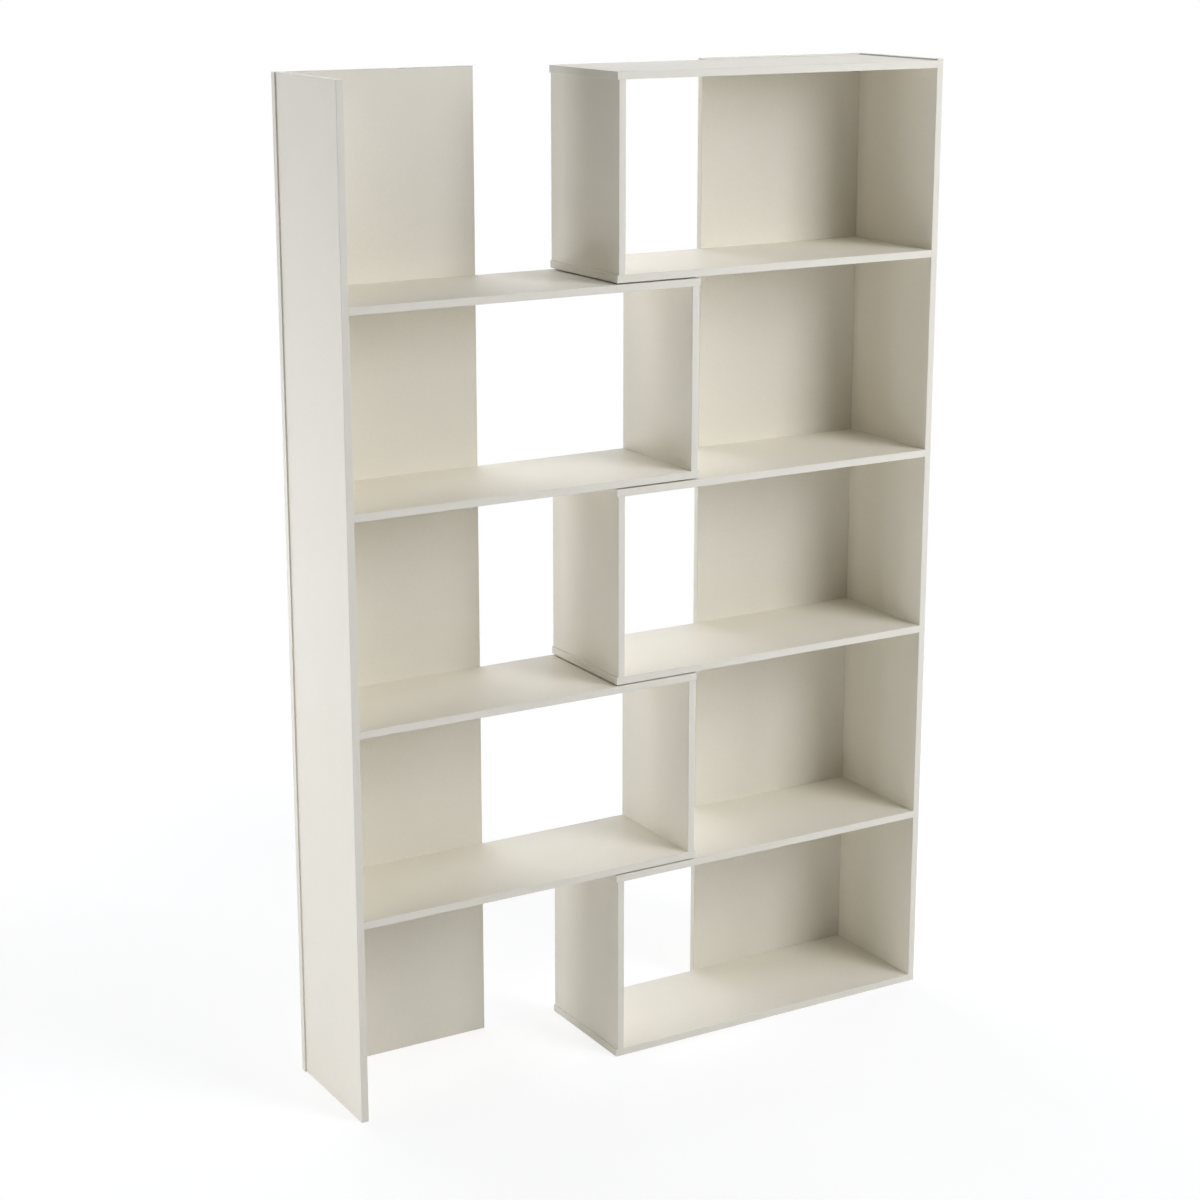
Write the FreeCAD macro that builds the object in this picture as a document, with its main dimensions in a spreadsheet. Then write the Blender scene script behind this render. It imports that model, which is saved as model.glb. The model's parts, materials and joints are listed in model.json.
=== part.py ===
import FreeCAD, Part
import os
import Sketcher
from types import SimpleNamespace

# Extending bookcase: two halves of melamine-faced board interlock and slide sideways into each other.
# Millimetres. X runs along the shelves, +Y towards the wall, +Z up.
# The origin is on the floor, in the middle of the drawn-out bookcase.

SIZES = {
    # Boards
    "board": 15,
    "edge_band": 1,
    "shelf_depth": 262,
    "clear_height": 367,
    "half_reach": 765,
    "overlap": 188,
    "back_width": 412,
    # Reveals and running gaps
    "slide_gap": 3,
    "top_reveal": 3,
    "end_lip": 3,
    "back_lip": 3,
    "run_relief": 1,
    # Where the joint hardware sits along a board's edge
    "joint_inset": 50,
    "dowel_step": 32,
    "radial_fit": 0.1,
    # Cam lock
    "cam_setback": 34,
    "cam_dia": 15,
    "cam_height": 12.3,
    "cam_floor_play": 0.2,
    "cam_slot_long": 8,
    "cam_slot_wide": 2,
    "cam_slot_deep": 2.5,
    # Cam bolt
    "bolt_bore": 8,
    "thread_dia": 6,
    "thread_long": 10,
    "collar_dia": 7.6,
    "collar_long": 1.5,
    "shank_dia": 5.6,
    "neck_dia": 4,
    "neck_long": 5,
    "head_dia": 6.8,
    "head_long": 3,
    "head_play": 0.3,
    # Dowel
    "dowel_dia": 8,
    "dowel_long": 30,
    "dowel_in_face": 10,
    "dowel_chamfer": 1,
    "dowel_end_play": 0.5,
    # Countersunk screw through a back panel
    "screw_dia": 4,
    "screw_long": 45,
    "screw_head_dia": 8,
    "screw_sink": 0.2,
    "screw_tip": 4,
    "screw_inset": 60,
    "cross_long": 4.4,
    "cross_wide": 1.2,
    "cross_deep": 1.6,
    # Felt glide pad
    "pad_dia": 24,
    "pad_play": 0.3,
    "pad_end_inset": 20,
    "pad_edge_inset": 45,
    # How far a cut runs past the face it starts on
    "overrun": 2,
}
BAND_ROUND_SHARE = 0.8
COUNTERSINK_DEG = 90
TURN_DEG = 360

doc = FreeCAD.newDocument("Bookcase")
sheet = doc.addObject("Spreadsheet::Sheet", "Sizes")


class Size:
    """A length together with the expression that ties it to the sheet."""

    def __init__(self, value, text):
        self.value = value
        self.text = text

    def __add__(self, other):
        return Size(self.value + other.value, "(%s + %s)" % (self.text, other.text))

    def __sub__(self, other):
        return Size(self.value - other.value, "(%s - %s)" % (self.text, other.text))

    def __mul__(self, factor):
        return Size(self.value * factor, "(%s * %s)" % (self.text, factor))

    def __truediv__(self, factor):
        return Size(self.value / factor, "(%s / %s)" % (self.text, factor))

    def __neg__(self):
        return self * -1


def read_sizes():
    """Writes the driving dimensions into the sheet and hands them back as named sizes."""
    for row, (name, value) in enumerate(SIZES.items(), start=1):
        sheet.set("A%d" % row, name)
        sheet.set("B%d" % row, str(value))
        sheet.setAlias("B%d" % row, name)
    doc.recompute()
    return SimpleNamespace(**{name: Size(float(sheet.get(name)), "Sizes." + name) for name in SIZES})


s = read_sizes()
ZERO = Size(0.0, "0")

# Sizes that follow from the driving dimensions
box_height = s.clear_height + s.board * 2
tier_pitch = box_height + s.slide_gap
TIERS = 5
full_height = tier_pitch * (TIERS - 1) + box_height + s.top_reveal
half_span = s.half_reach - s.overlap / 2
full_depth = s.shelf_depth + s.board
run_depth = s.shelf_depth - s.run_relief
back_reach = s.back_width - s.back_lip
mid_board = s.board / 2
front_y = -(full_depth / 2)
fit_gap = s.radial_fit * 2
core_end = s.half_reach - s.edge_band
core_top = full_height - s.edge_band
divider_face = s.half_reach - s.end_lip
band_round = s.edge_band * BAND_ROUND_SHARE
dowel_in_end = s.dowel_long - s.dowel_in_face
bolt_end = s.cam_setback + s.head_long / 2

# Depths, from the front edge, at which the joint hardware and the pads sit
bolt_depths = (s.joint_inset, s.shelf_depth - s.joint_inset)
dowel_depths = (s.joint_inset + s.dowel_step, s.shelf_depth - s.joint_inset - s.dowel_step)
pad_depths = (s.pad_edge_inset, s.shelf_depth - s.pad_edge_inset)
# Reaches, from a half's outer face, at which the screws enter a shelf's rear edge
screw_reaches = (s.board + s.screw_inset, back_reach - s.screw_inset)

# hand is +1 where a half's shelves run towards +X from its side panel, and -1 where they run back.
# Tiers are counted from the floor: the right half has the even ones and the left half the odd ones.
HALVES = {
    "left": {"hand": 1, "dividers": {3: "upper", 1: "lower"}},
    "right": {"hand": -1, "dividers": {4: "upper", 2: "middle", 0: "lower"}},
}
NODES = []


def vector(x, y, z):
    return FreeCAD.Vector(x, y, z)


AXIS_X = vector(1, 0, 0)
AXIS_Y = vector(0, 1, 0)
AXIS_Z = vector(0, 0, 1)


def frame(x_axis, z_axis):
    """The rotation that turns local X and Z onto the given directions."""
    return FreeCAD.Rotation(x_axis, z_axis.cross(x_axis), z_axis, "ZXY")


def bind(thing, prop, size):
    thing.setExpression(prop, size.text)


def put(thing, place, rotation=None):
    """Sets an object's place from three sizes, after turning it."""
    if rotation is not None:
        thing.Placement = FreeCAD.Placement(vector(0, 0, 0), rotation)
    for axis, size in zip("xyz", place):
        bind(thing, "Placement.Base." + axis, size)


def node(thing, label):
    """Names a finished sub-part."""
    thing.Label = label
    NODES.append(thing)
    return thing


# Sketches and features


def origin_plane(body, role):
    return next(found for found in body.Origin.OriginFeatures if found.Role == role)


def sketch_on(body, role, offset=ZERO):
    """A sketch on one of the body's origin planes, moved along the plane's normal."""
    sketch = body.newObject("Sketcher::SketchObject", "Sketch")
    sketch.AttachmentSupport = [(origin_plane(body, role), "")]
    sketch.MapMode = "FlatFace"
    bind(sketch, "AttachmentOffset.Base.z", offset)
    return sketch


def rule(sketch, size, kind, *where):
    index = sketch.addConstraint(Sketcher.Constraint(kind, *where, size.value))
    bind(sketch, "Constraints[%d]" % index, size)


def pin(sketch, geometry, point, place):
    """Ties a sketch point to its two distances from the sketch's origin."""
    for kind, axis, size in (("DistanceX", -2, place[0]), ("DistanceY", -1, place[1])):
        if size is ZERO:
            sketch.addConstraint(Sketcher.Constraint("PointOnObject", geometry, point, axis))
        else:
            rule(sketch, size, kind, -1, 1, geometry, point)


def flat(place):
    return vector(place[0].value, place[1].value, 0)


def polygon(sketch, corners):
    count = len(corners)
    for index, corner in enumerate(corners):
        sketch.addGeometry(Part.LineSegment(flat(corner), flat(corners[(index + 1) % count])))
    for index, corner in enumerate(corners):
        sketch.addConstraint(Sketcher.Constraint("Coincident", (index - 1) % count, 2, index, 1))
        pin(sketch, index, 1, corner)


def circles(sketch, centres, diameter):
    for centre in centres:
        index = sketch.addGeometry(Part.Circle(flat(centre), AXIS_Z, diameter.value / 2))
        rule(sketch, diameter, "Diameter", index)
        pin(sketch, index, 3, centre)


def cross(sketch, long, wide):
    """A plus-shaped outline about the sketch's origin."""
    tip = long / 2
    arm = wide / 2
    polygon(sketch, [
        (tip, arm), (arm, arm), (arm, tip), (-arm, tip), (-arm, arm), (-tip, arm),
        (-tip, -arm), (-arm, -arm), (-arm, -tip), (arm, -tip), (arm, -arm), (tip, -arm),
    ])


def pad(body, sketch, length, back=False):
    feature = body.newObject("PartDesign::Pad", "Pad")
    feature.Profile = sketch
    feature.Reversed = back
    bind(feature, "Length", length)


def pocket(body, sketch, depth, back=False):
    """Cuts against the sketch plane's normal, or along it where back is set."""
    feature = body.newObject("PartDesign::Pocket", "Pocket")
    feature.Profile = sketch
    feature.Reversed = back
    bind(feature, "Length", depth)


def drill(body, role, offset, centres, diameter, depth, back=False):
    sketch = sketch_on(body, role, offset)
    circles(sketch, centres, diameter)
    pocket(body, sketch, depth, back)


def turned(label, profile):
    """A body turned about its X axis from the half-section given as (along, radius) pairs."""
    body = doc.addObject("PartDesign::Body", label)
    sketch = sketch_on(body, "XY_Plane")
    polygon(sketch, profile)
    feature = body.newObject("PartDesign::Revolution", "Revolution")
    feature.Profile = sketch
    feature.ReferenceAxis = (sketch, ["H_Axis"])
    feature.Angle = TURN_DEG
    return body


# Boards. A half's boards share its outer face as X zero and the front edges as Y zero.


def outer_x(hand):
    return -(half_span * hand)


def shelf_level(tier, upper):
    level = tier_pitch * tier
    return level + box_height - s.board if upper else level


def shelf(label, hand, tier, upper):
    """A shelf: bored at its fixed end, and on the face that its divider meets."""
    body = node(doc.addObject("PartDesign::Body", label), label)
    sketch = sketch_on(body, "XY_Plane")
    outline = [
        (s.board, s.edge_band), (core_end, s.edge_band), (core_end, run_depth),
        (back_reach, run_depth), (back_reach, s.shelf_depth), (s.board, s.shelf_depth),
    ]
    polygon(sketch, [(reach * hand, depth) for reach, depth in outline])
    pad(body, sketch, s.board)
    fixed_end = s.board * hand
    inward = hand > 0
    bolts = [(depth, mid_board) for depth in bolt_depths]
    drill(body, "YZ_Plane", fixed_end, bolts, s.bolt_bore, s.cam_setback, inward)
    dowels = [(depth, mid_board) for depth in dowel_depths]
    drill(body, "YZ_Plane", fixed_end, dowels, s.dowel_dia + fit_gap, dowel_in_end + s.dowel_end_play, inward)
    cams = [((s.board + s.cam_setback) * hand, depth) for depth in bolt_depths]
    drill(body, "XY_Plane", ZERO, cams, s.cam_dia + fit_gap, s.cam_height + s.cam_floor_play, True)
    screws = [(reach * hand, mid_board) for reach in screw_reaches]
    pilot_depth = s.screw_long - s.board + s.overrun
    drill(body, "XZ_Plane", -s.shelf_depth, screws, s.screw_dia + fit_gap, pilot_depth, True)
    met_face = ZERO if upper else s.board
    middle = (divider_face - mid_board) * hand
    bolts = [(middle, depth) for depth in bolt_depths]
    drill(body, "XY_Plane", met_face, bolts, s.thread_dia + fit_gap, s.thread_long + s.radial_fit, upper)
    dowels = [(middle, depth) for depth in dowel_depths]
    drill(body, "XY_Plane", met_face, dowels, s.dowel_dia + fit_gap, s.dowel_in_face + s.dowel_end_play, upper)
    put(body, (outer_x(hand), front_y, shelf_level(tier, upper)))


def divider(label, hand, tier):
    """An upright between the two shelves of a tier, with its cam locks on the face towards +X."""
    body = node(doc.addObject("PartDesign::Body", label), label)
    sketch = sketch_on(body, "YZ_Plane")
    polygon(sketch, [
        (s.edge_band, ZERO), (run_depth, ZERO), (run_depth, s.clear_height), (s.edge_band, s.clear_height),
    ])
    pad(body, sketch, s.board)
    cam_heights = (s.cam_setback, s.clear_height - s.cam_setback)
    cams = [(depth, height) for depth in bolt_depths for height in cam_heights]
    drill(body, "YZ_Plane", s.board, cams, s.cam_dia + fit_gap, s.cam_height + s.cam_floor_play)
    for end, upward in ((ZERO, True), (s.clear_height, False)):
        bolts = [(mid_board, depth) for depth in bolt_depths]
        drill(body, "XY_Plane", end, bolts, s.bolt_bore, s.cam_setback, upward)
        dowels = [(mid_board, depth) for depth in dowel_depths]
        drill(body, "XY_Plane", end, dowels, s.dowel_dia + fit_gap, dowel_in_end + s.dowel_end_play, upward)
    put(body, (divider_x(hand), front_y, shelf_level(tier, False) + s.board))


def divider_x(hand):
    """Where the face of a half's dividers that looks towards -X lies."""
    near_face = divider_face - s.board if hand > 0 else divider_face
    return outer_x(hand) + near_face * hand


def side_panel(label, hand, levels):
    """A full-height side, bored for its shelves and, in its rear edge, for the back's screws."""
    body = node(doc.addObject("PartDesign::Body", label), label)
    sketch = sketch_on(body, "YZ_Plane")
    polygon(sketch, [
        (s.edge_band, ZERO), (s.shelf_depth, ZERO), (s.shelf_depth, core_top), (s.edge_band, core_top),
    ])
    pad(body, sketch, s.board, hand < 0)
    inner_face = s.board * hand
    bolts = [(depth, level + mid_board) for level in levels for depth in bolt_depths]
    drill(body, "YZ_Plane", inner_face, bolts, s.thread_dia + fit_gap, s.thread_long + s.radial_fit, hand < 0)
    dowels = [(depth, level + mid_board) for level in levels for depth in dowel_depths]
    dowel_hole = s.dowel_dia + fit_gap
    drill(body, "YZ_Plane", inner_face, dowels, dowel_hole, s.dowel_in_face + s.dowel_end_play, hand < 0)
    screws = [(mid_board * hand, height) for height in tier_middles()]
    pilot_depth = s.screw_long - s.board + s.overrun
    drill(body, "XZ_Plane", -s.shelf_depth, screws, s.screw_dia + fit_gap, pilot_depth, True)
    put(body, (outer_x(hand), front_y, ZERO))


def tier_middles():
    return [tier_pitch * tier + box_height / 2 for tier in range(TIERS)]


def screw_places(levels):
    """(reach, height) of a half's back screws: up the side panel, and along each shelf."""
    along_side = [(mid_board, height) for height in tier_middles()]
    along_shelves = [(reach, level + mid_board) for level in levels for reach in screw_reaches]
    return along_side + along_shelves


def back_panel(label, hand, levels):
    """A full-height back plank behind the side panel and the shelves, with countersunk screw holes."""
    body = node(doc.addObject("PartDesign::Body", label), label)
    sketch = sketch_on(body, "XZ_Plane")
    outer_end = s.edge_band - s.back_lip
    free_end = back_reach - s.edge_band
    corners = [(outer_end, ZERO), (free_end, ZERO), (free_end, core_top), (outer_end, core_top)]
    polygon(sketch, [(reach * hand, height) for reach, height in corners])
    pad(body, sketch, s.board, True)
    holes = sketch_on(body, "XZ_Plane", -s.board)
    places = [(reach * hand, height) for reach, height in screw_places(levels)]
    circles(holes, places, s.screw_dia + fit_gap)
    doc.recompute()
    hole = body.newObject("PartDesign::Hole", "Hole")
    hole.Profile = holes
    hole.Reversed = True
    hole.DepthType = "ThroughAll"
    hole.HoleCutType = "Countersink"
    hole.HoleCutCustomValues = True
    hole.HoleCutCountersinkAngle = COUNTERSINK_DEG
    bind(hole, "Diameter", s.screw_dia + fit_gap)
    bind(hole, "HoleCutDiameter", s.screw_head_dia + s.screw_sink * 2 + fit_gap)
    put(body, (outer_x(hand), front_y + s.shelf_depth, ZERO))


# Edge banding: one section with its outer corners rounded, drawn out along each banded edge


def band_section():
    """The section lies in X across the board and in Y out from its edge."""
    sketch = doc.addObject("Sketcher::SketchObject", "BandSection")
    shoulder = s.edge_band - band_round
    far = s.board - band_round
    corners = [
        (ZERO, ZERO), (s.board, ZERO), (s.board, shoulder), (far, s.edge_band), (band_round, s.edge_band),
        (ZERO, shoulder),
    ]
    arcs = {2: (far, shoulder), 4: (band_round, shoulder)}
    count = len(corners)
    for index, corner in enumerate(corners):
        end = flat(corners[(index + 1) % count])
        if index in arcs:
            centre = flat(arcs[index])
            spread = (flat(corner) - centre + end - centre).normalize()
            crown = centre + spread * band_round.value
            sketch.addGeometry(Part.Arc(flat(corner), crown, end))
        else:
            sketch.addGeometry(Part.LineSegment(flat(corner), end))
    for index, corner in enumerate(corners):
        sketch.addConstraint(Sketcher.Constraint("Coincident", (index - 1) % count, 2, index, 1))
        pin(sketch, index, 1, corner)
    for index, centre in arcs.items():
        rule(sketch, centre[0], "DistanceX", -1, 1, index, 3)
    return sketch


def band(section, start, outward, along, length):
    """A strip of edge banding that starts at a point and runs along an edge."""
    strip = doc.addObject("Part::Extrusion", "Band")
    strip.Base = section
    strip.DirMode = "Custom"
    strip.Dir = AXIS_Z
    strip.Solid = True
    bind(strip, "LengthFwd", length)
    put(strip, start, frame(outward.cross(along), along))
    return strip


def edge_bands(label, section, hand, levels, tiers):
    """The banding of one half: fronts, free shelf ends, top edges and the back's two long edges."""
    outer = outer_x(hand)
    low_x = lambda near, far: outer + (near if hand > 0 else -far)
    side_high = low_x(ZERO, s.board) + s.board
    band_y = front_y + s.edge_band
    back_y = front_y + s.shelf_depth
    inner_depth = s.shelf_depth - s.edge_band
    strips = []
    for level in levels:
        start = (low_x(s.board, s.half_reach), band_y, level)
        strips.append(band(section, start, -AXIS_Y, AXIS_X, s.half_reach - s.board))
        end_y = band_y if hand > 0 else front_y + run_depth
        start = (outer + core_end * hand, end_y, level)
        strips.append(band(section, start, AXIS_X * hand, AXIS_Y * hand, run_depth - s.edge_band))
    for tier in tiers:
        start = (divider_x(hand) + s.board, band_y, shelf_level(tier, False) + s.board)
        strips.append(band(section, start, -AXIS_Y, AXIS_Z, s.clear_height))
    strips.append(band(section, (side_high, band_y, ZERO), -AXIS_Y, AXIS_Z, full_height))
    strips.append(band(section, (side_high, band_y, core_top), AXIS_Z, AXIS_Y, inner_depth))
    back_low = low_x(-s.back_lip, back_reach) + s.edge_band
    back_high = low_x(-s.back_lip, back_reach) + s.back_width - s.edge_band
    strips.append(band(section, (back_low, back_y, ZERO), -AXIS_X, AXIS_Z, full_height))
    strips.append(band(section, (back_high, back_y + s.board, ZERO), AXIS_X, AXIS_Z, full_height))
    strips.append(band(section, (back_low, back_y, core_top), AXIS_Z, AXIS_X, s.back_width - s.edge_band * 2))
    group(label, strips)


# Fasteners. A joint's own frame has X from the joint plane into the board that holds the cam lock.


def cam_lock():
    """A zinc cam with a way in for the bolt's head and a cross slot in its outer face."""
    body = doc.addObject("PartDesign::Body", "CamLock")
    sketch = sketch_on(body, "XY_Plane", -mid_board)
    circles(sketch, [(s.cam_setback, ZERO)], s.cam_dia)
    pad(body, sketch, s.cam_height)
    way_in = s.cam_setback - s.cam_dia / 2 - s.overrun
    way_long = bolt_end + s.head_play - way_in
    drill(body, "YZ_Plane", way_in, [(ZERO, ZERO)], s.head_dia + s.head_play * 2, way_long, True)
    slot = sketch_on(body, "XY_Plane", -mid_board)
    bind(slot, "AttachmentOffset.Base.x", s.cam_setback)
    cross(slot, s.cam_slot_long, s.cam_slot_wide)
    pocket(body, slot, s.cam_slot_deep, True)
    return body


def cam_bolt():
    """Thread in the joint's other board, collar at the joint plane, neck and head inside the cam."""
    neck_start = bolt_end - s.head_long - s.neck_long
    neck_end = bolt_end - s.head_long
    radii = [each / 2 for each in (s.thread_dia, s.collar_dia, s.shank_dia, s.neck_dia, s.head_dia)]
    thread, collar, shank, neck, head = radii
    return turned("CamBolt", [
        (-s.thread_long, ZERO), (-s.thread_long, thread), (ZERO, thread), (ZERO, collar),
        (s.collar_long, collar), (s.collar_long, shank), (neck_start, shank), (neck_start, neck),
        (neck_end, neck), (neck_end, head), (bolt_end, head), (bolt_end, ZERO),
    ])


def dowel():
    radius = s.dowel_dia / 2
    start = -s.dowel_in_face
    return turned("Dowel", [
        (start, ZERO), (start, radius - s.dowel_chamfer), (start + s.dowel_chamfer, radius),
        (dowel_in_end - s.dowel_chamfer, radius), (dowel_in_end, radius - s.dowel_chamfer),
        (dowel_in_end, ZERO),
    ])


def back_screw():
    """A countersunk screw whose X runs in from the back panel's rear face."""
    shank = s.screw_dia / 2
    head = s.screw_head_dia / 2
    body = turned("BackScrew", [
        (s.screw_sink, ZERO), (s.screw_sink, head), (s.screw_sink + head - shank, shank),
        (s.screw_long - s.screw_tip, shank), (s.screw_long, ZERO),
    ])
    recess = sketch_on(body, "YZ_Plane", s.screw_sink)
    cross(recess, s.cross_long, s.cross_wide)
    pocket(body, recess, s.cross_deep, True)
    return body


def glide_pad():
    disc = doc.addObject("Part::Cylinder", "GlidePad")
    bind(disc, "Radius", s.pad_dia / 2)
    bind(disc, "Height", s.slide_gap - s.pad_play)
    return disc


def copies(master, stations):
    """One linked copy of a fastener at each (place, rotation)."""
    made = []
    for place, rotation in stations:
        link = doc.addObject("App::Link", master.Name + "Copy")
        link.setLink(master)
        put(link, place, rotation)
        made.append(link)
    return made


def group(label, members):
    compound = doc.addObject("Part::Compound", label)
    compound.Links = members
    return node(compound, label)


def shelf_stations(hand, levels, depths):
    x = outer_x(hand) + s.board * hand
    turn = frame(AXIS_X * hand, AXIS_Z)
    return [((x, front_y + depth, level + mid_board), turn) for level in levels for depth in depths]


def divider_stations(hand, tiers, depths):
    x = divider_x(hand) + mid_board
    stations = []
    for tier in tiers:
        low = shelf_level(tier, False) + s.board
        for height, inward in ((low, AXIS_Z), (low + s.clear_height, -AXIS_Z)):
            turn = frame(inward, -AXIS_X)
            stations += [((x, front_y + depth, height), turn) for depth in depths]
    return stations


def screw_stations(hand, levels):
    y = front_y + full_depth
    turn = frame(-AXIS_Y, AXIS_Z)
    places = screw_places(levels)
    return [((outer_x(hand) + reach * hand, y, height), turn) for reach, height in places]


def pad_stations(hand, tiers):
    """Pads lie on each upper shelf and under each lower one, but not at the very top and bottom."""
    x = outer_x(hand) + (s.half_reach - s.pad_end_inset) * hand
    stations = []
    for tier in tiers:
        heights = []
        if tier < TIERS - 1:
            heights.append(shelf_level(tier, True) + s.board)
        if tier > 0:
            heights.append(shelf_level(tier, False) - s.slide_gap + s.pad_play)
        stations += [((x, front_y + depth, height), None) for height in heights for depth in pad_depths]
    return stations


def build():
    section = band_section()
    cam, bolt, peg, screw, glide = cam_lock(), cam_bolt(), dowel(), back_screw(), glide_pad()
    for half, layout in HALVES.items():
        hand = layout["hand"]
        tiers = list(layout["dividers"])
        shelves = [(tier, upper) for tier in tiers for upper in (True, False)]
        levels = [shelf_level(tier, upper) for tier, upper in shelves]
        side_panel(half + "_side_panel", hand, levels)
        back_panel(half + "_back_panel", hand, levels)
        for number, (tier, upper) in enumerate(shelves, start=1):
            shelf("%s_shelf_%d" % (half, number), hand, tier, upper)
        for tier, word in layout["dividers"].items():
            divider("%s_divider_%s" % (half, word), hand, tier)
        edge_bands(half + "_edge_bands", section, hand, levels, tiers)
        at_shelves = shelf_stations(hand, levels, bolt_depths)
        at_dividers = divider_stations(hand, tiers, bolt_depths)
        group(half + "_shelf_cam_locks", copies(cam, at_shelves))
        group(half + "_shelf_cam_bolts", copies(bolt, at_shelves))
        group(half + "_shelf_dowels", copies(peg, shelf_stations(hand, levels, dowel_depths)))
        group(half + "_divider_cam_locks", copies(cam, at_dividers))
        group(half + "_divider_cam_bolts", copies(bolt, at_dividers))
        group(half + "_divider_dowels", copies(peg, divider_stations(hand, tiers, dowel_depths)))
        group(half + "_back_screws", copies(screw, screw_stations(hand, levels)))
        group(half + "_glide_pads", copies(glide, pad_stations(hand, tiers)))
    doc.recompute()


def check():
    """Stops before anything is written if a feature failed, a cut cut nothing, or a shape is not sound."""
    for thing in doc.Objects:
        if "Invalid" in thing.State or "Error" in thing.State:
            raise RuntimeError("%s failed: %s" % (thing.Label, thing.State))
        if thing.TypeId in ("PartDesign::Pocket", "PartDesign::Hole"):
            if thing.Shape.Volume >= thing.BaseFeature.Shape.Volume:
                raise RuntimeError("%s in %s cuts nothing" % (thing.Name, thing.getParentGeoFeatureGroup().Label))
    for part in NODES:
        if part.Shape.isNull() or not part.Shape.isValid():
            raise RuntimeError("%s has no sound shape" % part.Label)


def write():
    os.makedirs("parts", exist_ok=True)
    for part in NODES:
        part.Shape.exportStep("parts/%s.step" % part.Label)
        print(part.Label, len(part.Shape.Solids), part.Shape.BoundBox)


build()
check()
write()
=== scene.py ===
import json
import math

import bpy
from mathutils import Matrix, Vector

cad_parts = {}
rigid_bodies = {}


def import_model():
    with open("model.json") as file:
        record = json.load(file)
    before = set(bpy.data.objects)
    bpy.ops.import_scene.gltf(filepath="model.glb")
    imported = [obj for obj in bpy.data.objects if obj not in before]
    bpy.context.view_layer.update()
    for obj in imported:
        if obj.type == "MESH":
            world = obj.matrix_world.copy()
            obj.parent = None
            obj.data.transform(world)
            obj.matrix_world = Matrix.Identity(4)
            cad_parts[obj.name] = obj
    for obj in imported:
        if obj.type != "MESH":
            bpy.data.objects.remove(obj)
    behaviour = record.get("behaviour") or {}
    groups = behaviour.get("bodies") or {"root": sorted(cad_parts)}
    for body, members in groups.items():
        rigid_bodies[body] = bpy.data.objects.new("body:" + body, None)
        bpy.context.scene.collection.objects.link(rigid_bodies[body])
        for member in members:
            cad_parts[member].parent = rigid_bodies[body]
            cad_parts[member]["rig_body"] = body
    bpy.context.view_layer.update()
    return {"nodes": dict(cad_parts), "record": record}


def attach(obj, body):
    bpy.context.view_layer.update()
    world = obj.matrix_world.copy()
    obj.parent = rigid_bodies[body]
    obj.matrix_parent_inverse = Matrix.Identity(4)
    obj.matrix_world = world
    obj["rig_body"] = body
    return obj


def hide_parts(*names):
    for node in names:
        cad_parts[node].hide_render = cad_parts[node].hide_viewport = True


# Looks of the extending bookcase: melamine boards, edge banding and flat-pack hardware. Metres.
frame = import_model()
SLOTS = {part["node"]: part["material_slot"] for part in frame["record"]["subparts"]}
HALVES = ("left", "right")
BOARD_SLOT = "melamine_board"

MM = 0.001
FULL_TURN = 2 * math.pi
QUARTER_TURN = FULL_TURN / 4
# Points as close as this become one
SEAM_MERGE = 0.01 * MM
POLE_MERGE = 0.001 * MM
# Directions, and the middle of a solid's box in shares of the box
UP = (0, 0, 1)
DOWN = (0, 0, -1)
RIGHT = (1, 0, 0)
REAR = (0, 1, 0)
MIDDLE = (0.5, 0.5, 0.5)

# Boards: the small arris that is left on a board's cut edges
ARRIS = 0.4 * MM
ARRIS_STEPS = 2
ARRIS_ANGLE = math.radians(40)
FLAT_ANGLE = math.radians(0.5)

# Hardware. Each piece is made with its axis along Z. Screws and cam locks have their outer face at
# height 0, and dowels and pads their middle.
SMOOTH_ANGLE = math.radians(35)
CUT_OVERRUN = 0.5 * MM
CROSS_TAPER_SHARE = 0.45

SCREW_SIDES = 32
THREAD_SIDES = 16
THREAD_CORNERS = 4
SCREW = {
    "Head diameter": 8 * MM,
    "Head land": 0.3 * MM,
    "Head crown": 0.15 * MM,
    "Core diameter": 2.8 * MM,
    "Thread diameter": 3.9 * MM,
    "Plain neck": 8 * MM,
    "Length": 44.8 * MM,
    "Tip": 4 * MM,
    "Pitch": 1.8 * MM,
    "Cross length": 4.6 * MM,
    "Cross width": 1.1 * MM,
    "Cross depth": 2.0 * MM,
}
# The crown bends at this share of the head's radius and of its own height, from the top
CROWN_BEND_OUT = 0.7
CROWN_BEND_DOWN = 0.3

CAM_SIDES = 48
ARROW_CORNERS = 3
CAM = {
    "Diameter": 15 * MM,
    "Height": 12.3 * MM,
    "Chamfer": 0.4 * MM,
    "Groove diameter": 12.4 * MM,
    "Groove width": 0.5 * MM,
    "Groove depth": 0.25 * MM,
    "Cross length": 8 * MM,
    "Cross width": 2 * MM,
    "Cross depth": 2.5 * MM,
    "Arrow size": 0.9 * MM,
    "Arrow depth": 0.4 * MM,
    "Bolt depth": 7.5 * MM,
    "Bolt way": 7.4 * MM,
    "Neck way": 4.6 * MM,
    "Chamber": 10.6 * MM,
}
# The way in for the bolt's head starts and ends at these shares of the drum's radius
BOLT_WAY_FROM = 0.2
BOLT_WAY_TO = 1.4
NECK_SWEEP = math.radians(215)
# A closed lock is turned this far from its bolt, give or take the spin
CAM_CLOSED_TURN = math.radians(190)
CAM_SPIN = math.radians(14)
CAM_SEED = 11

DOWEL_SIDES = 96
DOWEL_FLUTES = 16
DOWEL = {
    "Diameter": 8 * MM,
    "Length": 30 * MM,
    "Chamfer": 1 * MM,
    "Flute depth": 0.35 * MM,
}
GRAIN = "grain"

PAD_SIDES = 96
PAD_RINGS = 12
PAD_ROUND_STEPS = 4
PAD = {
    "Diameter": 24 * MM,
    "Height": 2.7 * MM,
    "Round": 0.8 * MM,
    "Fluff": 0.16 * MM,
}
PAD_FLUFF_CELL = 1.6 * MM

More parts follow.
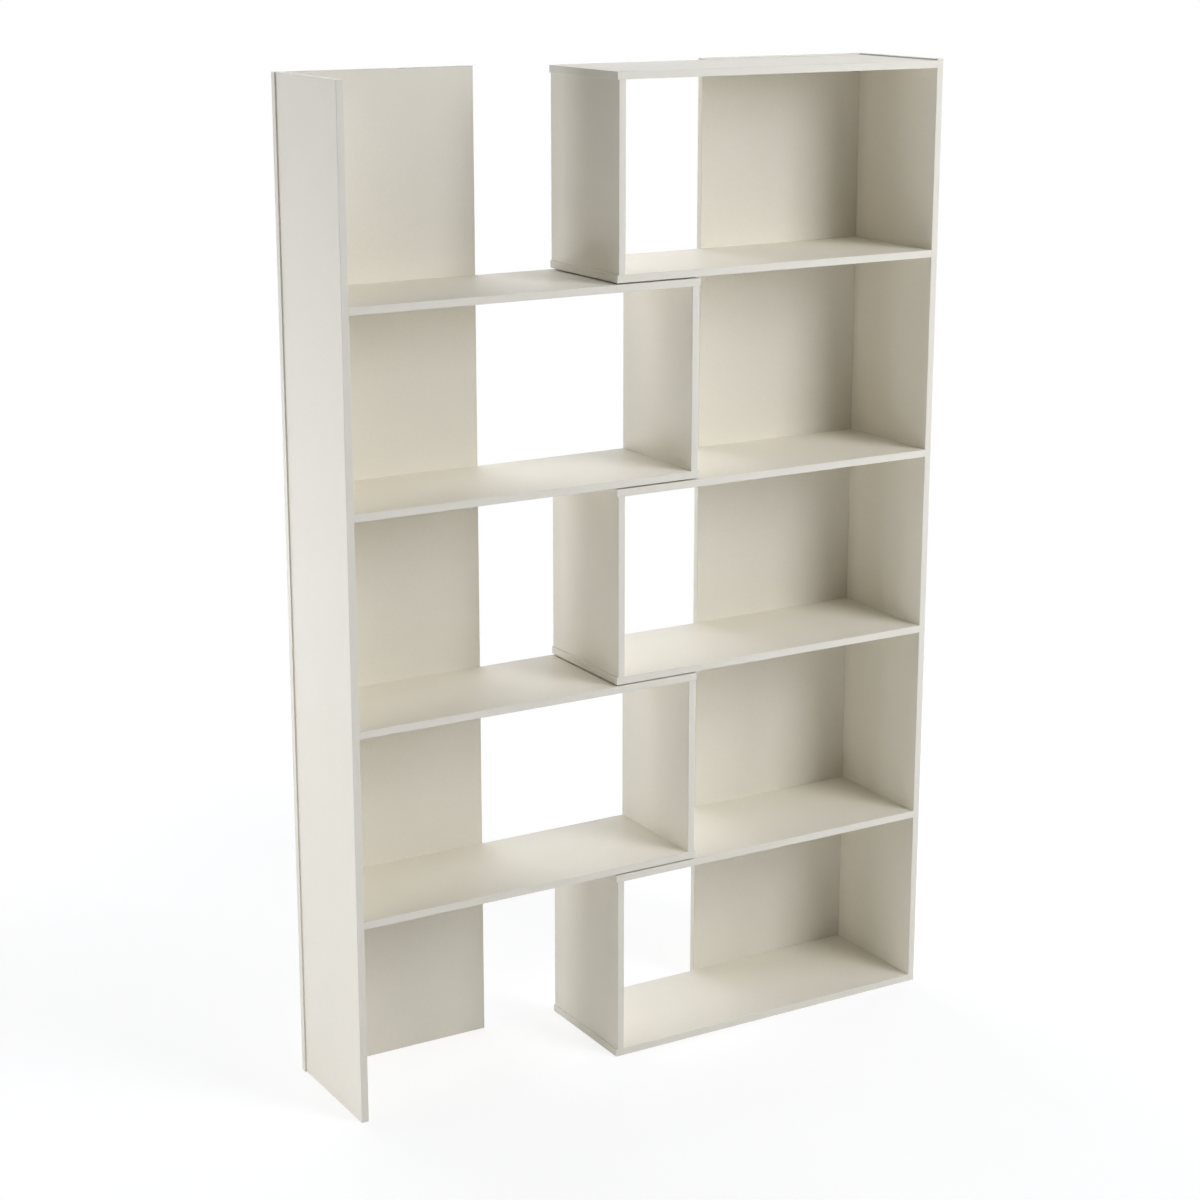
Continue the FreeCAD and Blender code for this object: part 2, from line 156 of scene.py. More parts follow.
# Finishes, by the slots of the record. Noises of about these cells mix a dark and a pale tone, given in
# linear light, by their shares. One noise varies the roughness between two ends, and one makes the
# relief, of this depth.
FINISHES = {
    # Paper-faced board: matt, with a fine pearl in its skin and hardly any change of tone
    BOARD_SLOT: {
        "name": "matt_melamine",
        "tones": ((0.818, 0.777, 0.668), (0.87, 0.829, 0.72)),
        "noises": {
            "clouds": {"cell": 140 * MM},
            "mottle": {"cell": 3.5 * MM},
            "pearl": {"cell": 0.7 * MM, "detail": 3.0},
        },
        "shares": {"clouds": 0.25, "mottle": 0.45, "pearl": 0.3},
        "roughness": ("pearl", 0.54, 0.66),
        "relief": ("pearl", 0.03 * MM),
        "settings": {"Specular IOR Level": 0.4},
    },
    # Smooth plastic strip: silkier than the boards and more even in tone
    "edge_band": {
        "name": "edge_banding",
        "tones": ((0.795, 0.762, 0.66), (0.815, 0.782, 0.68)),
        "noises": {
            "clouds": {"cell": 60 * MM},
            "drawn": {"cell": 0.9 * MM, "detail": 3.0},
        },
        "shares": {"clouds": 0.8, "drawn": 0.2},
        "roughness": ("drawn", 0.46, 0.56),
        "relief": ("drawn", 0.012 * MM),
        "settings": {"Specular IOR Level": 0.4},
    },
    # Dull grey metal with the fine pitting of a die casting
    "cam_zinc": {
        "name": "cast_zinc",
        "tones": ((0.46, 0.46, 0.45), (0.6, 0.6, 0.585)),
        "noises": {
            "bloom": {"cell": 4 * MM},
            "pits": {"cell": 0.5 * MM, "detail": 4.0},
        },
        "shares": {"bloom": 0.5, "pits": 0.5},
        "roughness": ("pits", 0.34, 0.52),
        "relief": ("pits", 0.03 * MM),
        "settings": {"Metallic": 1.0},
    },
    # Bright plated steel, with the soft marks of tumbling in a barrel
    "fastener_steel": {
        "name": "plated_steel",
        "tones": ((0.54, 0.54, 0.53), (0.68, 0.68, 0.66)),
        "noises": {
            "film": {"cell": 3 * MM, "distortion": 1.0},
            "marks": {"cell": 0.35 * MM, "detail": 4.0},
        },
        "shares": {"film": 0.6, "marks": 0.4},
        "roughness": ("marks", 0.2, 0.36),
        "relief": ("marks", 0.01 * MM),
        "settings": {"Metallic": 1.0},
    },
    # Raw wood: the grain runs along each dowel, with short darker flecks
    "dowel_beech": {
        "name": "raw_beech",
        "tones": ((0.52, 0.34, 0.19), (0.66, 0.48, 0.30)),
        "noises": {
            "fibres": {"cell": 0.5 * MM, "detail": 3.0, "scale": (1, 1, 0.06)},
            "flecks": {"cell": 0.9 * MM, "distortion": 0.6, "scale": (1, 1, 0.25)},
        },
        "shares": {"fibres": 0.6, "flecks": 0.4},
        "roughness": ("fibres", 0.55, 0.7),
        "relief": ("fibres", 0.05 * MM),
        "settings": {},
        "follows": GRAIN,
    },
    # Off-white felt: matted fibres that catch a little light at the rim
    "pad_felt": {
        "name": "pressed_felt",
        "tones": ((0.62, 0.60, 0.54), (0.74, 0.72, 0.66)),
        "noises": {
            "fibres": {"cell": 0.5 * MM, "detail": 5.0, "distortion": 2.0},
            "clumps": {"cell": 2 * MM, "distortion": 1.0},
        },
        "shares": {"fibres": 0.6, "clumps": 0.4},
        "roughness": ("clumps", 0.9, 1.0),
        "relief": ("fibres", 0.2 * MM),
        "settings": {"Sheen Weight": 0.3, "Sheen Roughness": 0.5},
    },
}
# Most of a noise lies between these values, which are spread over a finish's range
NOISE_LOW = 0.3
NOISE_HIGH = 0.7

# The camera stands where the photograph was taken from and looks down a little
EYE = (-2.5351, -4.2110, 2.2720)
TURN = math.radians(30.533)
DIP = math.radians(14.175)
LENS_MM = 75.13
SHIFT_UP = -0.04

# Soft square lamps stand round the bookcase, and each faces a point on its upright middle line. A turn
# goes from the front to the right and a height above the level, both in degrees. A lamp's light is the
# brightness of a matt white face that looks straight at it from that point.
LAMP_COLOUR = (1.0, 1.017, 1.075)
LAMPS = {
    # name: (turn, height, distance, side, height of its aim, light)
    "key": (30, 25, 5.0, 2.0, 1.0, 0.24),
    "key_high": (30, 50, 5.0, 2.0, 1.0, 0.155),
    "key_far": (30, 12, 8.0, 3.0, 1.0, 0.095),
    "key_far_high": (30, 35, 8.0, 3.0, 1.0, 0.10),
    "right": (60, 25, 5.0, 2.0, 1.0, 0.10),
    "right_low": (60, 0, 3.0, 0.9, 0.45, 0.105),
    "right_rear_high": (120, 35, 8.0, 3.0, 1.0, 0.135),
    "right_rear": (150, 12, 8.0, 3.0, 1.0, 0.115),
    "rear": (180, 35, 8.0, 4.0, 1.0, 0.29),
    "rear_left": (210, 35, 8.0, 4.0, 1.0, 0.10),
    "rear_low": (210, 0, 3.0, 0.9, 0.45, 0.115),
    "left_rear": (240, 5, 5.0, 2.0, 0.8, 0.23),
    "left": (270, 0, 4.5, 1.1, 0.6, 0.148),
    "left_low": (300, 0, 2.2, 0.7, 0.45, 0.07),
}

# Floor: white, and lifted so that the bookcase's shadow on it stays faint
FLOOR_HALF = 20.0
FLOOR_DROP = 0.2 * MM
FLOOR_WHITE = 0.9
FLOOR_SHADOW_SHARE = 0.35
FLOOR_LIFT = 0.76
FLOOR_FADE_FROM = 1.3
FLOOR_FADE_TO = 3.0


# Node trees


def socket_of(sockets, where):
    """A socket in use, by its name or by its place among those in use."""
    in_use = [each for each in sockets if each.enabled]
    if isinstance(where, int):
        return in_use[where]
    return next(each for each in in_use if each.name == where)


def result(made, where=0):
    return socket_of(made.outputs, where)


def feed_in(tree, socket, feed):
    """Links a socket to an amount, a node or several nodes, or sets it to a plain value."""
    if isinstance(feed, list):
        for each in feed:
            feed_in(tree, socket, each)
    elif isinstance(feed, Amount):
        tree.links.new(feed.socket, socket)
    elif isinstance(feed, bpy.types.Node):
        tree.links.new(result(feed), socket)
    elif isinstance(feed, bpy.types.NodeSocket):
        tree.links.new(feed, socket)
    else:
        socket.default_value = feed


def grow(tree, kind, feeds=None, **settings):
    """Adds a node, sets its settings and feeds its inputs."""
    made = tree.nodes.new(kind)
    for name, value in settings.items():
        setattr(made, name, value)
    for where, feed in (feeds or {}).items():
        feed_in(tree, socket_of(made.inputs, where), feed)
    return made


class Amount:
    """A number that a node tree works out. Sums with other amounts or plain numbers become nodes."""

    def __init__(self, tree, socket):
        self.tree = tree
        self.socket = socket

    def step(self, operation, *others):
        feeds = dict(enumerate((self, *others)))
        return Amount(self.tree, result(grow(self.tree, "ShaderNodeMath", feeds, operation=operation)))

    def __add__(self, other):
        return self.step("ADD", other)

    def __sub__(self, other):
        return self.step("SUBTRACT", other)

    def __mul__(self, other):
        return self.step("MULTIPLY", other)

    def __truediv__(self, other):
        return self.step("DIVIDE", other)

    def __neg__(self):
        return self * -1


def amount(tree, made, where=0):
    return Amount(tree, result(made, where))


def vector(tree, x=0.0, y=0.0, z=0.0):
    return grow(tree, "ShaderNodeCombineXYZ", {"X": x, "Y": y, "Z": z})


def noise(tree, place, cell, detail=2.0, distortion=0.0, scale=None):
    """Noise whose cells are about this size. A scale below 1 draws them out along its axis."""
    if scale:
        place = grow(tree, "ShaderNodeMapping", {"Vector": place, "Scale": scale})
    feeds = {"Vector": place, "Scale": 1 / cell, "Detail": detail, "Distortion": distortion}
    return amount(tree, grow(tree, "ShaderNodeTexNoise", feeds), "Fac")


# Finishes


def object_place(tree):
    return result(grow(tree, "ShaderNodeTexCoord"), "Object")


def stored_place(tree, name):
    return result(grow(tree, "ShaderNodeAttribute", attribute_name=name), "Vector")


def ranged(tree, value, low, high):
    """Spreads a noise over a range."""
    feeds = {"Value": value, "From Min": NOISE_LOW, "From Max": NOISE_HIGH, "To Min": low, "To Max": high}
    return grow(tree, "ShaderNodeMapRange", feeds)


def tint(tree, share, dark, pale):
    feeds = {"Factor": ranged(tree, share, 0.0, 1.0), "A": (*dark, 1), "B": (*pale, 1)}
    return grow(tree, "ShaderNodeMix", feeds, data_type="RGBA")


def finish(name, tones, noises, shares, roughness, relief, settings, follows=None):
    """A material, from its row in the finishes. Its noises follow the object or a stored place."""
    material = bpy.data.materials.new(name)
    material.use_nodes = True
    tree = material.node_tree
    shader = tree.nodes["Principled BSDF"]
    place = stored_place(tree, follows) if follows else object_place(tree)
    made = {each: noise(tree, place, **sizes) for each, sizes in noises.items()}
    first, *others = [made[each] * share for each, share in shares.items()]
    rough_noise, smoothest, roughest = roughness
    relief_noise, depth = relief
    feeds = {"Height": made[relief_noise], "Distance": depth, "Strength": 1.0}
    feed_in(tree, shader.inputs["Base Color"], tint(tree, sum(others, first), *tones))
    feed_in(tree, shader.inputs["Roughness"], ranged(tree, made[rough_noise], smoothest, roughest))
    feed_in(tree, shader.inputs["Normal"], grow(tree, "ShaderNodeBump", feeds))
    for socket, value in settings.items():
        shader.inputs[socket].default_value = value
    return material


MATERIALS = {slot: finish(**row) for slot, row in FINISHES.items()}


def dress(node):
    """Gives a CAD node its finish."""
    materials = frame["nodes"][node].data.materials
    materials.clear()
    materials.append(MATERIALS[SLOTS[node]])


def ease_edges(node):
    """Takes the sharpness off a board's edges, with its flat faces kept flat."""
    board = frame["nodes"][node]
    weld = board.modifiers.new("weld", "WELD")
    weld.merge_threshold = SEAM_MERGE
    faces = board.modifiers.new("flat_faces", "DECIMATE")
    faces.decimate_type = "DISSOLVE"
    faces.angle_limit = FLAT_ANGLE
    arris = board.modifiers.new("arris", "BEVEL")
    arris.width = ARRIS
    arris.segments = ARRIS_STEPS
    arris.limit_method = "ANGLE"
    arris.angle_limit = ARRIS_ANGLE
    arris.use_clamp_overlap = False
    board.modifiers.new("shading", "WEIGHTED_NORMAL")


# Hardware, in geometry trees


def hardware_tree(name, sizes, objects=("Solids",)):
    """A geometry tree whose named inputs are CAD nodes, a finish, a direction and sizes."""
    tree = bpy.data.node_groups.new(name, "GeometryNodeTree")
    kinds = {each: "NodeSocketObject" for each in objects}
    kinds["Finish"] = "NodeSocketMaterial"
    kinds["Facing"] = "NodeSocketVector"
    kinds["Face shares"] = "NodeSocketVector"
    kinds.update({each: "NodeSocketFloat" for each in sizes})
    for each, kind in kinds.items():
        tree.interface.new_socket(each, in_out="INPUT", socket_type=kind)
    tree.interface.new_socket("Geometry", in_out="OUTPUT", socket_type="NodeSocketGeometry")
    given = grow(tree, "NodeGroupInput")
    return tree, {each: amount(tree, given, each) for each in kinds}


def turned(tree, outline, sides, flutes=None):
    """A closed turned solid. Its outline goes from the foot to the top in (radius, height) pairs."""
    rows = len(outline)
    grid = grow(tree, "GeometryNodeMeshGrid", {"Vertices X": sides + 1, "Vertices Y": rows})
    index = amount(tree, grow(tree, "GeometryNodeInputIndex"))
    row = index.step("FLOORED_MODULO", rows)
    angle = (index / rows).step("FLOOR") * (FULL_TURN / sides)

    def by_row(values):
        switch = grow(tree, "GeometryNodeIndexSwitch", {"Index": row}, data_type="FLOAT")
        while len(switch.index_switch_items) < rows:
            switch.index_switch_items.new()
        for place, value in enumerate(values):
            feed_in(tree, socket_of(switch.inputs, str(place)), value)
        return amount(tree, switch)

    radius = by_row([pair[0] for pair in outline])
    if flutes:
        count, depth = flutes
        hollow = (angle * count).step("COSINE").step("MAXIMUM", 0.0) * depth
        radius = (radius - hollow).step("MAXIMUM", 0.0)
    x = angle.step("COSINE") * radius
    y = angle.step("SINE") * radius
    place = vector(tree, x, y, by_row([pair[1] for pair in outline]))
    moved = grow(tree, "GeometryNodeSetPosition", {"Geometry": grid, "Position": place})
    # The ends of the turn join, and the points on the axis become one
    return grow(tree, "GeometryNodeMergeByDistance", {"Geometry": moved, "Distance": POLE_MERGE})


def moved_to(tree, shape, place=(0, 0, 0), turn=(0, 0, 0)):
    return grow(tree, "GeometryNodeTransform", {"Geometry": shape, "Translation": place, "Rotation": turn})


def cross_cutter(tree, long, wide, deep):
    """The two tapered wings of a cross recess, from a little above the face downwards."""
    tall = deep + CUT_OVERRUN
    block = grow(tree, "GeometryNodeMeshCube", {"Size": vector(tree, long, wide, tall)})
    place = grow(tree, "GeometryNodeInputPosition")
    height = result(grow(tree, "ShaderNodeSeparateXYZ", {"Vector": place}), "Z")
    low = grow(tree, "FunctionNodeCompare", {"A": height, "B": 0.0}, operation="LESS_THAN")
    narrow = (CROSS_TAPER_SHARE, CROSS_TAPER_SHARE, 1)
    drawn_in = grow(tree, "ShaderNodeVectorMath", {0: place, 1: narrow}, operation="MULTIPLY")
    feeds = {"Geometry": block, "Selection": low, "Position": drawn_in}
    wing = grow(tree, "GeometryNodeSetPosition", feeds)
    sunk = vector(tree, z=(deep - CUT_OVERRUN) / -2)
    return [moved_to(tree, wing, sunk), moved_to(tree, wing, sunk, (0, 0, QUARTER_TURN))]


def cut(tree, shape, cutters):
    feeds = {"Mesh 1": shape, "Mesh 2": cutters}
    return grow(tree, "GeometryNodeMeshBoolean", feeds, operation="DIFFERENCE", solver="EXACT")


def shaded(tree, shape):
    """Smooth shading that stops at sharp edges."""
    smooth = grow(tree, "GeometryNodeSetShadeSmooth", {"Geometry": shape, "Shade Smooth": True})
    turn = result(grow(tree, "GeometryNodeInputMeshEdgeAngle"), "Unsigned Angle")
    sharp = grow(tree, "FunctionNodeCompare", {"A": turn, "B": SMOOTH_ANGLE}, operation="GREATER_THAN")
    feeds = {"Geometry": smooth, "Selection": sharp, "Shade Smooth": False}
    return grow(tree, "GeometryNodeSetShadeSmooth", feeds, domain="EDGE")


def points_at(tree, solids, shares):
    """A point for each solid of a CAD node, at these shares of the way across the solid's box."""
    info = grow(tree, "GeometryNodeObjectInfo", {"Object": solids})
    feeds = {"Geometry": result(info, "Geometry"), "Distance": SEAM_MERGE}
    welded = grow(tree, "GeometryNodeMergeByDistance", feeds)
    island = grow(tree, "GeometryNodeInputMeshIsland")
    place = grow(tree, "GeometryNodeInputPosition")
    feeds = {"Value": place, "Group ID": island}
    box = grow(tree, "GeometryNodeFieldMinAndMax", feeds, data_type="FLOAT_VECTOR")
    low = result(box, "Min")
    span = grow(tree, "ShaderNodeVectorMath", {0: result(box, "Max"), 1: low}, operation="SUBTRACT")
    spot = grow(tree, "ShaderNodeVectorMath", {0: span, 1: shares, 2: low}, operation="MULTIPLY_ADD")
    # Only the first point of each solid is kept
    feeds = {"Value": 1, "Group ID": island}
    earlier = result(grow(tree, "GeometryNodeAccumulateField", feeds, data_type="INT"), "Trailing")
    first = grow(tree, "FunctionNodeCompare", {"A": earlier, "B": 0}, data_type="INT", operation="EQUAL")
    return grow(tree, "GeometryNodeMeshToPoints", {"Mesh": welded, "Selection": first, "Position": spot})


def faced(tree, facing):
    return grow(tree, "FunctionNodeAlignRotationToVector", {"Vector": facing}, axis="Z")


def set_out(tree, given, shape, turn):
    """Puts the shape at each solid of the CAD node, in its finish."""
    points = points_at(tree, given["Solids"], given["Face shares"])
    feeds = {"Points": points, "Instance": shape, "Rotation": turn}
    placed = grow(tree, "GeometryNodeInstanceOnPoints", feeds)
    real = grow(tree, "GeometryNodeRealizeInstances", {"Geometry": placed})
    finished = grow(tree, "GeometryNodeSetMaterial", {"Geometry": real, "Material": given["Finish"]})
    grow(tree, "NodeGroupOutput", {"Geometry": finished})


def screw_tree():
    """Countersunk wood screw: crowned head with a cross recess, plain neck, thread and point."""
    tree, given = hardware_tree("back_screw", SCREW)
    head = given["Head diameter"] / 2
    core = given["Core diameter"] / 2
    crown = given["Head crown"]
    under_land = -(given["Head land"] + crown)
    tip = given["Tip"] - given["Length"]
    shank = turned(tree, [
        (0.0, -given["Length"]), (core, tip), (core, under_land - head + core), (head, under_land),
        (head, -crown), (head * CROWN_BEND_OUT, crown * -CROWN_BEND_DOWN), (0.0, 0.0),
    ], SCREW_SIDES)
    recess = cross_cutter(tree, given["Cross length"], given["Cross width"], given["Cross depth"])
    thread_long = given["Length"] - given["Tip"] - given["Plain neck"]
    helix = grow(tree, "GeometryNodeCurveSpiral", {
        "Resolution": THREAD_SIDES,
        "Rotations": thread_long / given["Pitch"],
        "Start Radius": core,
        "End Radius": core,
        "Height": thread_long,
    })
    ridge = (given["Thread diameter"] - given["Core diameter"]) / 2
    feeds = {"Resolution": THREAD_CORNERS, "Radius": ridge}
    section = grow(tree, "GeometryNodeCurvePrimitiveCircle", feeds)
    feeds = {"Curve": helix, "Profile Curve": section, "Fill Caps": True}
    thread = moved_to(tree, grow(tree, "GeometryNodeCurveToMesh", feeds), vector(tree, z=tip))
    whole = grow(tree, "GeometryNodeJoinGeometry", {"Geometry": [cut(tree, shank, recess), thread]})
    set_out(tree, given, shaded(tree, whole), faced(tree, given["Facing"]))
    return tree


def cam_cutters(tree, given):
    """The way in for the bolt's head, the curved way for its neck and the chamber behind them."""
    axis = -given["Bolt depth"]
    rim = given["Diameter"] / 2
    feeds = {"Vertices": CAM_SIDES, "Radius": given["Chamber"] / 2, "Depth": given["Bolt way"]}
    chamber = moved_to(tree, grow(tree, "GeometryNodeMeshCylinder", feeds), vector(tree, z=axis))
    long = rim * (BOLT_WAY_TO - BOLT_WAY_FROM)
    feeds = {"Vertices": CAM_SIDES, "Radius": given["Bolt way"] / 2, "Depth": long}
    way = grow(tree, "GeometryNodeMeshCylinder", feeds)
    place = vector(tree, x=rim * ((BOLT_WAY_FROM + BOLT_WAY_TO) / 2), z=axis)
    way_in = moved_to(tree, way, place, (0, QUARTER_TURN, 0))
    feeds = {"Resolution": CAM_SIDES, "Radius": rim, "Sweep Angle": -NECK_SWEEP}
    arc = grow(tree, "GeometryNodeCurveArc", feeds)
    feeds = {"Width": rim, "Height": given["Neck way"]}
    section = grow(tree, "GeometryNodeCurvePrimitiveQuadrilateral", feeds)
    feeds = {"Curve": arc, "Profile Curve": section, "Fill Caps": True}
    neck_way = moved_to(tree, grow(tree, "GeometryNodeCurveToMesh", feeds), vector(tree, z=axis))
    return [chamber, way_in, neck_way]


def cam_tree():
    """Cam lock: a drum with a ring groove, an arrow and a cross slot, closed on its bolt."""
    tree, given = hardware_tree("cam_lock", CAM, ("Solids", "Bolts"))
    rim = given["Diameter"] / 2
    bevel = given["Chamfer"]
    groove = given["Groove diameter"] / 2
    half = given["Groove width"] / 2
    drum = turned(tree, [
        (0.0, -given["Height"]), (rim - bevel, -given["Height"]), (rim, bevel - given["Height"]),
        (rim, -bevel), (rim - bevel, 0.0), (groove + half, 0.0), (groove, -given["Groove depth"]),
        (groove - half, 0.0), (0.0, 0.0),
    ], CAM_SIDES)
    feeds = {"Vertices": ARROW_CORNERS, "Radius": given["Arrow size"], "Depth": given["Arrow depth"] * 2}
    arrow = grow(tree, "GeometryNodeMeshCylinder", feeds)
    place = vector(tree, x=groove - given["Arrow size"] - given["Groove width"])
    mark = moved_to(tree, arrow, place)
    slot = cross_cutter(tree, given["Cross length"], given["Cross width"], given["Cross depth"])
    lock = cut(tree, drum, [mark, *slot, *cam_cutters(tree, given)])
    # The way in is turned to the nearest bolt, and then the lock is closed
    bolts = points_at(tree, given["Bolts"], MIDDLE)
    nearest = grow(tree, "GeometryNodeProximity", {"Geometry": bolts}, target_element="POINTS")
    place = grow(tree, "GeometryNodeInputPosition")
    feeds = {0: result(nearest, "Position"), 1: place}
    to_bolt = grow(tree, "ShaderNodeVectorMath", feeds, operation="SUBTRACT")
    feeds = {"Rotation": faced(tree, given["Facing"]), "Vector": to_bolt}
    aimed = grow(tree, "FunctionNodeAlignRotationToVector", feeds, axis="X", pivot_axis="Z")
    low, high = CAM_CLOSED_TURN - CAM_SPIN, CAM_CLOSED_TURN + CAM_SPIN
    spin = grow(tree, "FunctionNodeRandomValue", {"Min": low, "Max": high, "Seed": CAM_SEED})
    closing = grow(tree, "FunctionNodeEulerToRotation", {"Euler": vector(tree, z=result(spin, "Value"))})
    feeds = {"Rotation": aimed, "Rotate By": closing}
    turn = grow(tree, "FunctionNodeRotateRotation", feeds, rotation_space="LOCAL")
    set_out(tree, given, shaded(tree, lock), turn)
    return tree


def dowel_tree():
    """Fluted wooden peg with chamfered ends. Its own place is kept for the grain."""
    tree, given = hardware_tree("dowel", DOWEL)
    radius = given["Diameter"] / 2
    end = given["Length"] / 2
    bevel = given["Chamfer"]
    peg = turned(tree, [
        (0.0, -end), (radius - bevel, -end), (radius, bevel - end),
        (radius, end - bevel), (radius - bevel, end), (0.0, end),
    ], DOWEL_SIDES, (DOWEL_FLUTES, given["Flute depth"]))
    place = grow(tree, "GeometryNodeInputPosition")
    feeds = {"Geometry": shaded(tree, peg), "Name": GRAIN, "Value": place}
    grained = grow(tree, "GeometryNodeStoreNamedAttribute", feeds, data_type="FLOAT_VECTOR")
    set_out(tree, given, grained, faced(tree, given["Facing"]))
    return tree


def pad_tree():
    """Round felt pad with soft edges and an uneven, fluffy skin that stays inside its solid."""
    tree, given = hardware_tree("glide_pad", PAD)
    radius = given["Diameter"] / 2
    soft = given["Round"]
    flat = radius - soft
    half = given["Height"] / 2
    shares = [ring / PAD_RINGS for ring in range(PAD_RINGS)]
    angles = [QUARTER_TURN * step / PAD_ROUND_STEPS for step in range(PAD_ROUND_STEPS + 1)]
    foot = [(flat * share, -half) for share in shares]
    foot += [(flat + soft * math.sin(angle), soft - half - soft * math.cos(angle)) for angle in angles]
    outline = foot + [(wide, -low) for wide, low in reversed(foot)]
    disc = turned(tree, outline, PAD_SIDES)
    place = grow(tree, "GeometryNodeInputPosition")
    fluff = noise(tree, place, PAD_FLUFF_CELL) * given["Fluff"]
    outward = result(grow(tree, "GeometryNodeInputNormal"), "Normal")
    feeds = {"Vector": outward, "Scale": -fluff}
    inward = grow(tree, "ShaderNodeVectorMath", feeds, operation="SCALE")
    felt = grow(tree, "GeometryNodeSetPosition", {"Geometry": disc, "Offset": inward})
    set_out(tree, given, shaded(tree, felt), faced(tree, given["Facing"]))
    return tree


def outer_face(facing):
    """Where a piece's outer face lies in its CAD solid's box, as shares of the box."""
    return tuple((1 + along) / 2 for along in facing)


def make_hardware(name, tree, node, facing, shares, sizes, **objects):
    """Runs a tree on a CAD node and keeps the result as a plain mesh."""
    values = {
        "Solids": frame["nodes"][node],
        "Finish": MATERIALS[SLOTS[node]],
        "Facing": facing,
        "Face shares": shares,
        **sizes,
        **objects,
    }
    piece = bpy.data.objects.new(name, bpy.data.meshes.new(name))
    bpy.context.scene.collection.objects.link(piece)
    modifier = piece.modifiers.new("hardware", "NODES")
    modifier.node_group = tree
    for socket in tree.interface.items_tree:
        if socket.in_out == "INPUT":
            modifier[socket.identifier] = values[socket.name]
    made = piece.evaluated_get(bpy.context.evaluated_depsgraph_get())
    mesh = bpy.data.meshes.new_from_object(made)
    piece.modifiers.remove(modifier)
    piece.data = mesh
    mesh.name = name
    # A tree can leave an empty slot beside the finish
    empty_slot = mesh.materials.find("")
    if empty_slot >= 0:
        mesh.materials.pop(index=empty_slot)
    return piece


def stand_for(piece, node):
    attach(piece, frame["nodes"][node]["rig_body"])
    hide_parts(node)


def hardware():
    """Makes all hardware first, because a node that is replaced is hidden from the trees."""
    screw, cam, dowel, pad = screw_tree(), cam_tree(), dowel_tree(), pad_tree()
    made = {}
    for half in HALVES:
        node = half + "_back_screws"
        made[node] = make_hardware(half + "_screws", screw, node, REAR, outer_face(REAR), SCREW)
        # Board, the side that its cam locks are seen from and the way that its dowels lie
        for board, cam_side, dowel_way in (("shelf", DOWN, RIGHT), ("divider", RIGHT, UP)):
            stem = "%s_%s" % (half, board)
            node = stem + "_cam_locks"
            bolts = frame["nodes"][stem + "_cam_bolts"]
            made[node] = make_hardware(
                stem + "_cams", cam, node, cam_side, outer_face(cam_side), CAM, Bolts=bolts)
            node = stem + "_dowels"
            made[node] = make_hardware(stem + "_pegs", dowel, node, dowel_way, MIDDLE, DOWEL)
        node = half + "_glide_pads"
        made[node] = make_hardware(half + "_felts", pad, node, UP, MIDDLE, PAD)
    for node, piece in made.items():
        stand_for(piece, node)


# Stage


def camera():
    data = bpy.data.cameras.new("camera")
    data.lens = LENS_MM
    data.shift_y = SHIFT_UP
    view = bpy.data.objects.new("camera", data)
    view.location = EYE
    view.rotation_euler = (QUARTER_TURN - DIP, 0, -TURN)
    bpy.context.scene.collection.objects.link(view)
    bpy.context.scene.camera = view


def lamp(name, turn_deg, height_deg, distance, side, aim_height, light):
    """A square lamp that faces its aim. The camera doesn't see it."""
    turn = math.radians(turn_deg)
    height = math.radians(height_deg)
    outward = Vector((math.sin(turn), -math.cos(turn), math.tan(height))).normalized()
    data = bpy.data.lights.new(name, "AREA")
    data.shape = "SQUARE"
    data.size = side
    data.color = LAMP_COLOUR
    data.energy = light * (math.pi * distance) ** 2
    piece = bpy.data.objects.new(name, data)
    piece.location = Vector((0, 0, aim_height)) + outward * distance
    piece.rotation_euler = outward.to_track_quat("Z", "Y").to_euler()
    piece.visible_camera = False
    bpy.context.scene.collection.objects.link(piece)


def seen_directly(tree):
    """1 for rays that come from the camera, or by way of gloss or glass."""
    path = grow(tree, "ShaderNodeLightPath")
    camera_ray = amount(tree, path, "Is Camera Ray")
    glossy_ray = result(path, "Is Glossy Ray")
    return camera_ray.step("MAXIMUM", glossy_ray).step("MAXIMUM", result(path, "Is Transmission Ray"))


def glow(tree, level):
    return grow(tree, "ShaderNodeEmission", {"Color": (level, level, level, 1)})


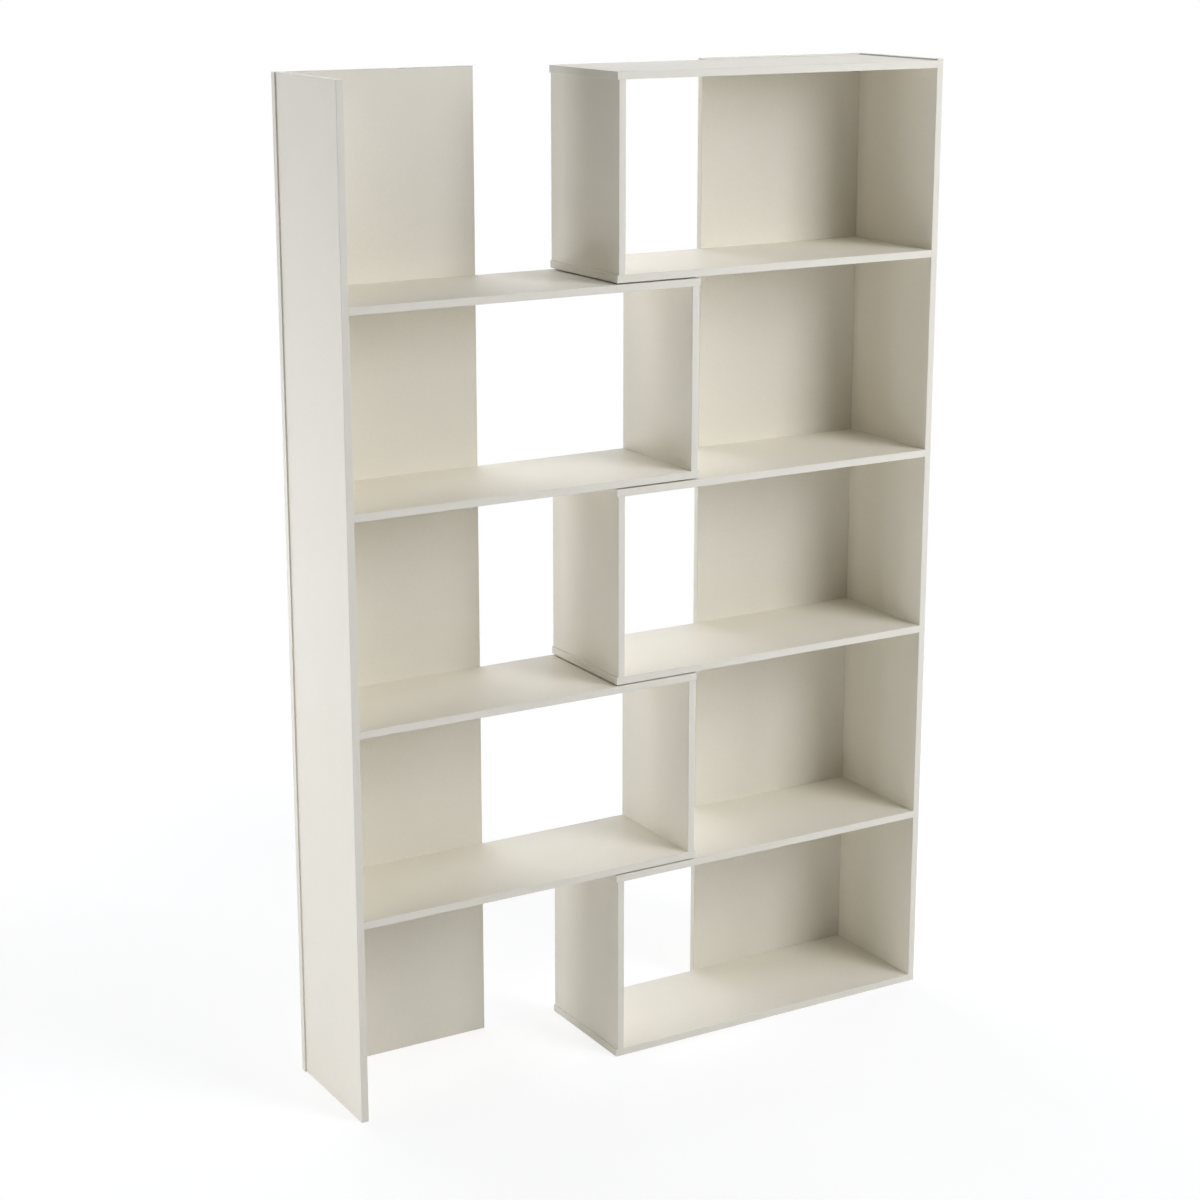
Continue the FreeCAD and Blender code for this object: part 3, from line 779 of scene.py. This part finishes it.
def matt(tree, level):
    return grow(tree, "ShaderNodeBsdfDiffuse", {"Color": (level, level, level, 1)})


def mixed(tree, share, first, second):
    return grow(tree, "ShaderNodeMixShader", {0: share, 1: first, 2: second})


def sky():
    """White to the camera and in gloss. It throws no light on matt faces."""
    world = bpy.data.worlds.new("studio")
    bpy.context.scene.world = world
    world.use_nodes = True
    tree = world.node_tree
    tree.nodes.clear()
    feeds = {"Color": (1, 1, 1, 1), "Strength": seen_directly(tree)}
    grow(tree, "ShaderNodeOutputWorld", {"Surface": grow(tree, "ShaderNodeBackground", feeds)})


def floor_finish():
    """Matt white for the light that it throws back. The camera sees it white, with a faint shadow."""
    material = bpy.data.materials.new("white_floor")
    material.use_nodes = True
    tree = material.node_tree
    tree.nodes.clear()
    distance = grow(tree, "ShaderNodeVectorMath", {0: object_place(tree)}, operation="LENGTH")
    feeds = {"Value": result(distance, "Value"), "From Min": FLOOR_FADE_FROM, "From Max": FLOOR_FADE_TO}
    fade = grow(tree, "ShaderNodeMapRange", feeds, interpolation_type="SMOOTHSTEP")
    shadowed = matt(tree, FLOOR_WHITE * FLOOR_SHADOW_SHARE)
    near = grow(tree, "ShaderNodeAddShader", {0: shadowed, 1: glow(tree, FLOOR_LIFT)})
    shown = mixed(tree, fade, near, glow(tree, 1.0))
    surface = mixed(tree, seen_directly(tree), matt(tree, FLOOR_WHITE), shown)
    grow(tree, "ShaderNodeOutputMaterial", {"Surface": surface})
    return material


def floor():
    mesh = bpy.data.meshes.new("floor")
    half = FLOOR_HALF
    corners = [(-half, -half), (half, -half), (half, half), (-half, half)]
    mesh.from_pydata([(x, y, -FLOOR_DROP) for x, y in corners], [], [(0, 1, 2, 3)])
    mesh.materials.append(floor_finish())
    piece = bpy.data.objects.new("floor", mesh)
    bpy.context.scene.collection.objects.link(piece)


camera()
for name, settings in LAMPS.items():
    lamp(name, *settings)
sky()
floor()
bpy.context.scene.view_settings.view_transform = "Standard"
for node, slot in SLOTS.items():
    dress(node)
    if slot == BOARD_SLOT:
        ease_edges(node)
hardware()
